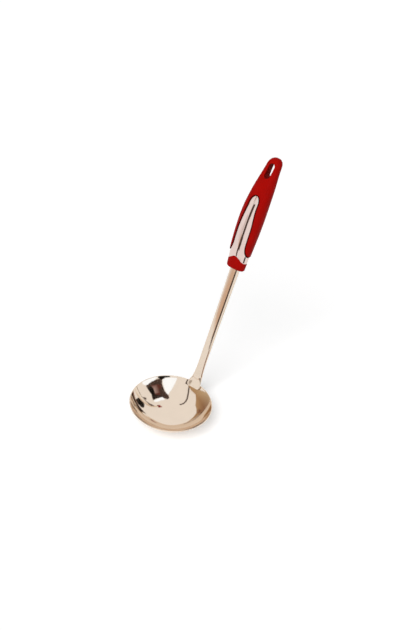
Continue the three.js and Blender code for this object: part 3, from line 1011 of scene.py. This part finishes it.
def steel_finish(name, rgb, draw_marks, *settings):
    """Polished metal with a cloudy tone, faint polishing marks and bright worn edges."""
    material, tree, shader = new_finish(name)
    cloud = noise(tree, object_coordinates(tree), *STEEL_CLOUD)
    tone = mixed(tree, spread(tree, cloud), *(scaled(rgb, lightness) for lightness in STEEL_TONES))
    worn = worn_edges(tree)
    marks = draw_marks(tree, *settings)
    polish = spread(tree, marks, *STEEL_ROUGHNESS)
    set_inputs(tree, shader, {
        "Metallic": 1.0,
        "Base Color": mixed(tree, worn, tone, scaled(rgb, STEEL_WORN)),
        "Roughness": reckoned(tree, "MULTIPLY_ADD", worn, STEEL_SCUFF, polish),
        "Normal": bump(tree, marks, *STEEL_BUMP),
    })
    return material


def red_finish(rgb):
    """Red plastic with a fine satin grain, painted shade along the seams and in the slot, and
    slightly scuffed edges, made once.
    """
    if "satin_red" in bpy.data.materials:
        return bpy.data.materials["satin_red"]
    material, tree, shader = new_finish("satin_red")
    cloud = noise(tree, object_coordinates(tree), *RED_CLOUD)
    grain = noise(tree, object_coordinates(tree), *RED_GRAIN)
    mottle = mixed(tree, RED_GRAIN_SHARE, cloud, grain, "FLOAT")
    tone = mixed(tree, spread(tree, mottle), *(scaled(rgb, lightness) for lightness in RED_TONES))
    worn = worn_edges(tree)
    # A darker red where the mesh carries painted shade: painted shade in the grooves along the
    # silver and in the slot
    painted_shade = marked(tree, "painted_shade")
    scuffed = mixed(tree, worn, tone, scaled(rgb, RED_WORN))
    satin = reckoned(tree, "MULTIPLY_ADD", worn, RED_SCUFF, spread(tree, grain, *RED_ROUGHNESS))
    set_inputs(tree, shader, {
        "Specular IOR Level": RED_GLOSS,
        "Base Color": mixed(tree, painted_shade, scuffed, scaled(rgb, RED_PAINTED_SHADE)),
        "Roughness": reckoned(tree, "MULTIPLY_ADD", painted_shade, SEAM_ROUGHNESS, satin),
        "Normal": bump(tree, grain, *RED_BUMP),
    })
    return material


# Operators


class LADLE_OT_bowl(bpy.types.Operator):
    """Spin the steel bowl from its profile"""

    bl_idname = "ladle.bowl"
    bl_label = "Steel Bowl"

    def execute(self, context):
        bm = bmesh.new()
        self.profile(bm, context.scene.ladle_bowl)
        bmesh.ops.spin(
            bm,
            geom=bm.verts[:] + bm.edges[:],
            cent=(0.0, 0.0, 0.0),
            axis=(0.0, 0.0, 1.0),
            angle=2 * math.pi,
            steps=BOWL_TURNS,
            use_merge=True,
            use_duplicate=False,
        )
        weld(bm)
        steel = steel_finish("bowl_steel", context.scene.ladle_finish.steel, marks_round)
        add_piece(bm, Matrix(), "steel_bowl", steel, "bowl")
        return {"FINISHED"}

    def profile(self, bm, sizes):
        """Draws the profile from the flat's middle round the rim to the floor's middle."""
        dish = Dish(sizes)
        blend = sizes.flat_blend
        reach = math.sqrt((dish.radius - blend) ** 2 - (dish.centre - blend) ** 2)
        flat_turn = math.atan2(reach, dish.centre - blend)
        edge = sizes.rim_round
        level = dish.depth - edge
        outer = math.sqrt((dish.radius - edge) ** 2 - (dish.centre - level) ** 2)
        outer_turn = math.atan2(outer, dish.centre - level)
        if outer_turn <= flat_turn:
            raise RuntimeError("the bowl is too shallow for its flat")
        last = bmesh.ops.create_vert(bm, co=(0.0, 0.0, 0.0))["vert"][0]
        last = draw_to(bm, last, (reach, 0.0, 0.0))
        last = spin_arc(bm, last, (reach, blend), flat_turn, ROUND_STEPS * 2)
        last = spin_arc(bm, last, (0.0, dish.centre), outer_turn - flat_turn, ARC_STEPS)
        last = spin_arc(bm, last, (outer, level), math.pi - outer_turn, ROUND_STEPS * 2)
        inner = math.sqrt((dish.inside + edge) ** 2 - (dish.centre - level) ** 2)
        inner_turn = math.atan2(inner, dish.centre - level)
        last = draw_to(bm, last, (inner, 0.0, dish.depth))
        last = spin_arc(bm, last, (inner, level), inner_turn, ROUND_STEPS * 2)
        floor_turn = sizes.floor_blend
        shift = (dish.radius - dish.centre) / (1 - math.cos(floor_turn))
        last = spin_arc(bm, last, (0.0, dish.centre), floor_turn - inner_turn, ARC_STEPS)
        centre = (shift * math.sin(floor_turn), dish.centre - shift * math.cos(floor_turn))
        last = spin_arc(bm, last, centre, -floor_turn, ARC_STEPS // 2)
        draw_to(bm, last, (0.0, 0.0, dish.wall))


class LADLE_OT_shank(bpy.types.Operator):
    """Skin the steel shank from its foot to its tang"""

    bl_idname = "ladle.shank"
    bl_label = "Steel Shank"

    def execute(self, context):
        scene = context.scene
        sizes, handle = scene.ladle_shank, scene.ladle_handle
        bar = Bar(scene)
        edge, lap = sizes.foot_edge, sizes.foot_lap
        rings = []
        for turn in quarter_turns(ROUND_STEPS, 0):
            along = edge * (1 - math.cos(turn)) - lap
            rings.append(bar.ring(along, -edge * (1 - math.sin(turn)), BAR_RING))
        corner = sizes.foot_corner - lap
        bar_top = sizes.length + handle.collar_floor + handle.gap + sizes.seat
        heights = steps_between(edge - lap, corner, *LAP_ROWS)
        heights += steps_between(corner, 0.0, *CORNER_ROWS)
        heights += steps_between(0.0, sizes.neck_height, *FLARE_ROWS)
        heights += steps_between(sizes.neck_height, bar_top, *BAR_ROWS)
        rings += [bar.ring(along, 0.0, BAR_RING) for along in heights]
        tang = superellipse(sizes.tang_width / 2, sizes.tang_thickness / 2, BAR_POWER, BAR_RING)
        for height in (bar_top, bar_top + sizes.tang_length):
            rings.append([Vector((x, y, height)) for x, y in tang])
        bm = bmesh.new()
        for end in skin_rings(bm, rings):
            cap_ring(bm, end)
        rgb = scene.ladle_finish.steel
        steel = steel_finish("shank_steel", rgb, marks_along, SHANK_MARKS, sizes.lean)
        add_piece(bm, bar.stem, "steel_shank", steel, "shank")
        return {"FINISHED"}


class LADLE_OT_handle_core(bpy.types.Operator):
    """Skin the silver core's tongues and band, with rolled edges"""

    bl_idname = "ladle.handle_core"
    bl_label = "Silver Core"

    def execute(self, context):
        scene = context.scene
        sizes = scene.ladle_handle
        form = HandleForm(scene)
        bm = bmesh.new()
        self.half_skin(bm, form, sizes)
        mirror_skin(bm, form)
        loops = open_loops(bm)
        frames = [border_frames(loop) for loop in loops]
        twins = thicken(bm, bm.faces[:], sizes.core_wall)
        for loop, frame_of in zip(loops, frames):
            close_border(bm, loop, frame_of, twins, sizes.core_edge, sizes.core_wall)
        weld(bm)
        rgb, lean = scene.ladle_finish.silver, scene.ladle_shank.lean
        silver = steel_finish("plated_silver", rgb, marks_along, CORE_MARKS, lean)
        add_piece(bm, Bar(scene).stem, "silver_core", silver, "handle_core")
        return {"FINISHED"}

    def half_skin(self, bm, form, sizes):
        """Skins the right half: the band, then the front and the back tongue."""
        inset = sizes.grip_proud
        gap = sizes.gap + sizes.core_edge
        notch = form.notch(gap, inset)
        side_half = form.half_width(form.bottom + sizes.collar_side, inset)
        turns = [RIGHT_ANGLE * (k / CORE_COLUMNS - 1) for k in range(2 * CORE_COLUMNS + 1)]

        def band_row(share):
            points = []
            for turn in turns:
                x = side_half * super_power(math.cos(turn), form.POWER)
                low = form.collar_top(x, gap)
                height = low + (notch - low) * share
                points.append(form.point(turn, height, inset, sizes.ridge))
            return points

        row = start_row(bm, band_row(0.0))
        row = skin_rows(bm, row, [band_row(k / WALL_ROWS) for k in range(1, WALL_ROWS + 1)])
        shares = [k / CORE_COLUMNS for k in range(CORE_COLUMNS + 1)]
        for side in (-1, 1):
            rows = []
            for height in form.tongue_levels(gap, inset)[1:]:
                reach = form.turn_at(form.window(height, gap), height, inset)
                tongue = [side * between(RIGHT_ANGLE, reach, share) for share in shares]
                rows.append([form.point(turn, height, inset, sizes.ridge) for turn in tongue])
            start = row[: CORE_COLUMNS + 1] if side < 0 else row[CORE_COLUMNS:][::-1]
            skin_rows(bm, start, rows)


class LADLE_OT_grip(bpy.types.Operator):
    """Skin the red fork-shaped grip with its hanging slot"""

    bl_idname = "ladle.grip"
    bl_label = "Red Grip"

    def execute(self, context):
        scene = context.scene
        form = HandleForm(scene)
        bm = bmesh.new()
        self.half_skin(bm, form, scene.ladle_handle)
        mirror_skin(bm, form)
        self.close(bm, form, scene.ladle_handle)
        weld(bm)
        red = red_finish(scene.ladle_finish.red)
        add_piece(bm, Bar(scene).stem, "red_grip", red, "grip")
        return {"FINISHED"}

    def heights(self, form, sizes):
        """Levels of the skin's rows, closer together where an outline turns."""
        edge = sizes.grip_edge
        radius = sizes.slot_width / 2
        round_up = quarter_turns(SLOT_END_ROWS)
        slot_low = form.slot_bottom + radius
        slot_high = form.slot_top - radius
        reach = radius + edge
        levels = form.tongue_levels(-edge, 0.0)
        levels += steps_between(levels[-1], form.core_top, *BRIDGE_ROWS)
        levels += steps_towards(form.core_top, slot_low - reach, *SLOT_FOOT_ROWS)
        levels += [slot_low - reach * math.cos(turn) for turn in round_up]
        levels += steps_between(slot_low, slot_high, *SLOT_ROWS)
        levels += [slot_high + reach * math.sin(turn) for turn in round_up]
        end = slot_high + reach
        levels += [end + (form.top - end) * math.sin(turn) for turn in round_up]
        return levels

    def half_skin(self, bm, form, sizes):
        """Skins the right half from the prong's end to the hanging end."""
        edge = sizes.grip_edge
        row = None
        for height in self.heights(form, sizes):
            half = max(form.window(height, -edge), form.slot(height, -edge))
            reach = form.turn_at(half, height, 0.0)
            turns = [reach * (2 * k / GRIP_COLUMNS - 1) for k in range(GRIP_COLUMNS + 1)]
            points = [form.point(turn, height) for turn in turns]
            if half == 0.0:
                points[0].x = 0.0
                points[-1].x = 0.0
            if height >= form.top - WELD:
                points = [Vector((0.0, form.middle(form.top), form.top))] * len(points)
            if row is None:
                row = start_row(bm, points)
            else:
                row = skin_rows(bm, row, [points])

    def close(self, bm, form, sizes):
        """Rolls the edges, adds the inner skin round the core and runs the slot through."""
        level = form.core_top + WELD
        # Borders along the silver get full painted shade, a darker red standing in for the shade in
        # the groove
        painted_shade = bm.verts.layers.float.new("painted_shade")
        loops = open_loops(bm)
        for loop in loops:
            if loop[0].co.z < form.core_top:
                for vert in loop:
                    vert[painted_shade] = 1.0
        frames = [border_frames(loop) for loop in loops]
        lower = [face for face in bm.faces if max(vert.co.z for vert in face.verts) < level]
        twins = thicken(bm, lower, sizes.grip_wall)
        slot_loops = []
        for loop, frame_of in zip(loops, frames):
            if loop[0] in twins:
                close_border(bm, loop, frame_of, twins, sizes.grip_edge, sizes.grip_wall)
            else:
                slot_loops.append(roll_border(bm, loop, frame_of, sizes.grip_edge))
        edges = []
        # The slot's tunnel gets painted shade at a share of the seams' strength
        for loop in slot_loops:
            for vert in loop:
                vert[painted_shade] = SLOT_SHADE
            edges += chain_edges(bm, loop)
        bmesh.ops.bridge_loops(bm, edges=edges)
        weld(bm)
        bmesh.ops.holes_fill(bm, edges=[edge for edge in bm.edges if edge.is_boundary], sides=0)


class LADLE_OT_collar(bpy.types.Operator):
    """Skin the red collar cup with its wavy lip"""

    bl_idname = "ladle.collar"
    bl_label = "Red Collar"

    def execute(self, context):
        scene = context.scene
        sizes = scene.ladle_handle
        bar, form = Bar(scene), HandleForm(scene)
        turns = full_turns(COLLAR_RING)
        floor = form.bottom + sizes.collar_floor
        start = form.bottom + sizes.collar_edge
        lip, steps = sizes.collar_lip, ROUND_STEPS * 2
        rings = [self.mouth(bar, form.bottom, sizes.gap)]
        for turn in quarter_turns(steps, 0):
            inset = sizes.collar_inset + sizes.collar_edge * (1 - math.sin(turn))
            height = form.bottom + sizes.collar_edge * (1 - math.cos(turn))
            rings.append([form.point(around, height, inset) for around in turns])
        for step in range(1, WALL_ROWS + 1):
            rings.append(self.wall(form, turns, start, step / WALL_ROWS, sizes.collar_inset, lip))
        for turn in quarter_turns(steps):
            inset = sizes.collar_inset + lip * (1 - math.cos(turn))
            rings.append(self.wall(form, turns, start, 1.0, inset, lip * (1 - math.sin(turn))))
        rings.append(self.wall(form, turns, start, 1.0, sizes.grip_wall, 0.0))
        rings.append([form.point(around, floor, sizes.grip_wall) for around in turns])
        rings.append(self.mouth(bar, floor, sizes.gap))
        rings.append(rings[0])
        bm = bmesh.new()
        skin_rings(bm, rings)
        weld(bm)
        red = red_finish(scene.ladle_finish.red)
        add_piece(bm, bar.stem, "red_collar", red, "collar")
        return {"FINISHED"}

    def mouth(self, bar, height, gap):
        """The opening that the shank passes through."""
        ring = bar.ring(height, gap, COLLAR_RING)
        return [Vector((point.x, point.y, height)) for point in ring]

    def wall(self, form, turns, start, share, inset, below):
        """A ring between the lower edge's level and a level under the wavy lip."""
        ring = []
        half = form.half_width(start, inset)
        for turn in turns:
            x = half * super_power(math.cos(turn), form.POWER)
            end = form.collar_top(x, 0.0) - below
            ring.append(form.point(turn, start + (end - start) * share, inset))
        return ring


class LADLE_OT_stage(bpy.types.Operator):
    """Set up the white floor, the light all round, the cards and the camera"""

    bl_idname = "ladle.stage"
    bl_label = "Stage"

    def execute(self, context):
        scene = context.scene
        self.world(scene)
        self.floor(scene)
        self.lights(scene)
        self.cards()
        self.camera(scene)
        scene.view_settings.view_transform = "Standard"
        return {"FINISHED"}

    def seen_rays(self, tree):
        """A factor of 1 for rays that show the background, straight or in metal."""
        path = add_node(tree, "ShaderNodeLightPath").outputs
        either = reckoned(tree, "MAXIMUM", path["Is Camera Ray"], path["Is Glossy Ray"])
        return reckoned(tree, "MAXIMUM", either, path["Is Transmission Ray"])

    def world(self, scene):
        """White for rays that show it, and a softer white light all round."""
        world = bpy.data.worlds.new("white_studio")
        world.use_nodes = True
        tree = world.node_tree
        dome = tree.nodes["Background"]
        set_inputs(tree, dome, {"Color": WHITE, "Strength": scene.ladle_stage.dome})
        shown = add_node(tree, "ShaderNodeBackground", {"Color": WHITE, "Strength": 1.0})
        shaders = {1: dome.outputs["Background"], 2: shown.outputs["Background"]}
        mix = add_node(tree, "ShaderNodeMixShader", {"Fac": self.seen_rays(tree), **shaders})
        tree.links.new(mix.outputs["Shader"], tree.nodes["World Output"].inputs["Surface"])
        scene.world = world

    def floor(self, scene):
        """A wide pale floor just under the bowl's flat."""
        bm = bmesh.new()
        bmesh.ops.create_grid(bm, x_segments=1, y_segments=1, size=FLOOR_REACH)
        bmesh.ops.translate(bm, vec=(0.0, 0.0, -FLOOR_DROP), verts=bm.verts[:])
        material, tree, shader = new_finish("pale_floor")
        matt = add_node(tree, "ShaderNodeBsdfDiffuse", {"Color": (*scene.ladle_stage.floor, 1.0)})
        mirrored = reckoned(tree, "MULTIPLY", self.seen_rays(tree), FLOOR_MIRRORED)
        straight = add_node(tree, "ShaderNodeLightPath").outputs["Is Camera Ray"]
        lift = reckoned(tree, "MULTIPLY_ADD", straight, FLOOR_SEEN, mirrored)
        glow = add_node(tree, "ShaderNodeEmission", {"Strength": lift})
        both = {0: matt.outputs["BSDF"], 1: glow.outputs["Emission"]}
        total = add_node(tree, "ShaderNodeAddShader", both)
        show_only(tree, shader, total.outputs["Shader"])
        floor = mesh_object(bm, "floor", material)

    def lights(self, scene):
        """One soft light from the front, which the metal doesn't mirror."""
        light = bpy.data.lights.new("soft_key", "SUN")
        light.angle = KEY_SPREAD
        light.energy = KEY_STRENGTH
        lamp = bpy.data.objects.new("soft_key", light)
        lamp.rotation_euler = self.heading(KEY_HEADING).to_track_quat("Z", "Y").to_euler()
        lamp.visible_glossy = False
        scene.collection.objects.link(lamp)

    def cards(self):
        """Bright and dark cards round the ladle, seen only as reflections in its metal."""
        bm = bmesh.new()
        shade = bm.loops.layers.float_color.new("shade")
        for index, (shades, corners) in enumerate(FAR_CARDS):
            distance = FAR_DISTANCE - FAR_STEP * index
            self.card(bm, shade, shades, [self.heading(corner) * distance for corner in corners])
        near_cards = list(OTHER_CARDS)
        for shades, y, (left, right), (low, high) in UPRIGHT_CARDS:
            corners = ((left, y, low), (right, y, low), (right, y, high), (left, y, high))
            near_cards.append((shades, corners))
        for shades, corners in near_cards:
            self.card(bm, shade, shades, [Vector(corner) * MM for corner in corners])
        self.line(bm, shade)
        material, tree, shader = new_finish("card_shades")
        glow = add_node(tree, "ShaderNodeEmission", {"Color": marked(tree, "shade", "Color")})
        show_only(tree, shader, glow.outputs["Emission"])
        cards = mesh_object(bm, "cards", material)
        for rays in ("camera", "diffuse", "transmission", "shadow"):
            setattr(cards, "visible_" + rays, False)

    def outward(self, turn, rise):
        """The direction at a turn to the right of the handle's front and a rise over the floor."""
        level = math.cos(rise)
        return Vector((math.sin(turn) * level, -math.cos(turn) * level, math.sin(rise)))

    def heading(self, degrees):
        """The direction at a turn and a rise in degrees."""
        return self.outward(*map(math.radians, degrees))

    def line(self, bm, layer):
        """Adds the dark line as a row of cards."""
        middle = [self.heading(corner) for corner in LINE]
        half = math.radians(LINE_WIDTH) / 2
        pairs = []
        for index, point in enumerate(middle):
            along = middle[min(index + 1, len(middle) - 1)] - middle[max(index - 1, 0)]
            side = point.cross(along).normalized() * half
            pairs.append(((point + side) * FAR_DISTANCE, (point - side) * FAR_DISTANCE))
        for first, second in zip(pairs, pairs[1:]):
            self.card(bm, layer, (UMBER,), [first[0], first[1], second[1], second[0]])

    def card(self, bm, layer, shades, points):
        """Adds one card whose corners take the shades in turn."""
        ring = start_ring(bm, points)
        cap_ring(bm, ring)
        for index, vert in enumerate(ring):
            vert.link_loops[0][layer] = (*shades[index % len(shades)], 1.0)

    def camera(self, scene):
        """The camera at the photograph's angle."""
        look = scene.ladle_stage
        turn, roll = look.azimuth, look.roll
        back = self.outward(turn, look.elevation)
        level_right = Vector((math.cos(turn), math.sin(turn), 0.0))
        level_up = back.cross(level_right)
        right = level_right * math.cos(roll) + level_up * math.sin(roll)
        up = level_up * math.cos(roll) - level_right * math.sin(roll)
        rim = Vector((0.0, 0.0, scene.ladle_bowl.depth))
        place_at = rim + right * look.aim_right + up * look.aim_up + back * look.distance
        data = bpy.data.cameras.new("camera")
        data.lens = look.lens
        data.sensor_width = SENSOR_WIDTH
        data.clip_start = CLIP_START
        data.clip_end = CLIP_END
        camera = bpy.data.objects.new("camera", data)
        axes = Matrix((right, up, back)).transposed().to_4x4()
        camera.matrix_world = Matrix.Translation(place_at) @ axes
        scene.collection.objects.link(camera)
        scene.camera = camera


class LADLE_PT_build(bpy.types.Panel):
    """Lists the ladle's sizes and its build steps"""

    bl_idname = "LADLE_PT_build"
    bl_label = "Sauce Ladle"
    bl_space_type = "VIEW_3D"
    bl_region_type = "UI"
    bl_category = "Ladle"

    def draw(self, context):
        scene = context.scene
        for group in GROUPS:
            box = self.layout.box()
            settings = getattr(scene, group)
            box.label(text=type(settings).__doc__)
            for name in type(settings).__annotations__:
                box.prop(settings, name)
        for operator in BUILD_ORDER:
            self.layout.operator(operator.bl_idname)


GROUPS = {
    "ladle_bowl": BowlSizes,
    "ladle_shank": ShankSizes,
    "ladle_handle": HandleSizes,
    "ladle_finish": FinishColours,
    "ladle_stage": StageLook,
}

BUILD_ORDER = (
    LADLE_OT_stage,
    LADLE_OT_bowl,
    LADLE_OT_shank,
    LADLE_OT_handle_core,
    LADLE_OT_grip,
    LADLE_OT_collar,
)


def register():
    """Registers the property groups, the operators and the panel."""
    for name, group in GROUPS.items():
        bpy.utils.register_class(group)
        setattr(bpy.types.Scene, name, PointerProperty(type=group))
    for operator in BUILD_ORDER:
        bpy.utils.register_class(operator)
    bpy.utils.register_class(LADLE_PT_build)


def unregister():
    """Takes the panel, the operators and the property groups out again."""
    bpy.utils.unregister_class(LADLE_PT_build)
    for operator in reversed(BUILD_ORDER):
        bpy.utils.unregister_class(operator)
    for name, group in reversed(GROUPS.items()):
        delattr(bpy.types.Scene, name)
        bpy.utils.unregister_class(group)


def main():
    """Builds the ladle and its stage."""
    register()
    bpy.ops.ladle.stage()
    bpy.ops.ladle.bowl()
    bpy.ops.ladle.shank()
    bpy.ops.ladle.handle_core()
    bpy.ops.ladle.grip()
    bpy.ops.ladle.collar()


if __name__ == "__main__":
    main()
